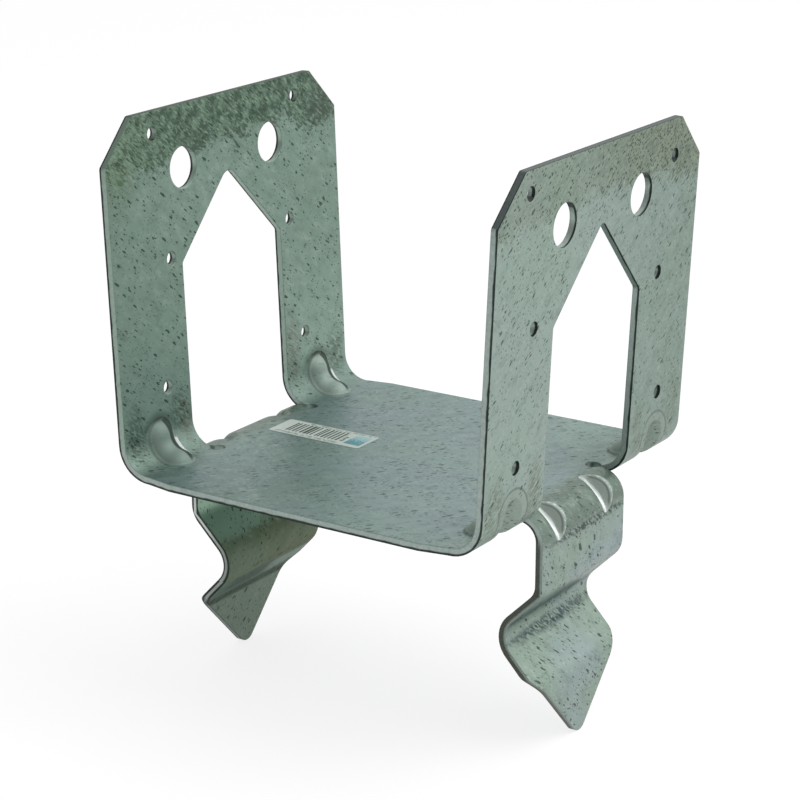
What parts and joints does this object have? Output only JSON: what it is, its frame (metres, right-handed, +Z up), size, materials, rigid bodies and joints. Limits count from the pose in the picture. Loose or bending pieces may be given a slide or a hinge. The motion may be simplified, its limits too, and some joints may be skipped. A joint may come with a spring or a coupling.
{
  "type": "post base",
  "caption": "Folded galvanised sheet base for a timber post: a plate with two windowed walls and kinked pointed legs that are cast into concrete.",
  "frame": {"origin": "centre of the plate's underside, the face that rests on the concrete", "axes": "+X from the left wall to the right wall, +Y along the walls to the rear, +Z up into the post"},
  "size_m": [0.1558, 0.1372, 0.2065],
  "materials": {
    "galvanised_steel": "galvanised, matt with fine dark flakes"
  },
  "bodies": {
    "root": {"post_base": "galvanised_steel"}
  },
  "joints": []
}
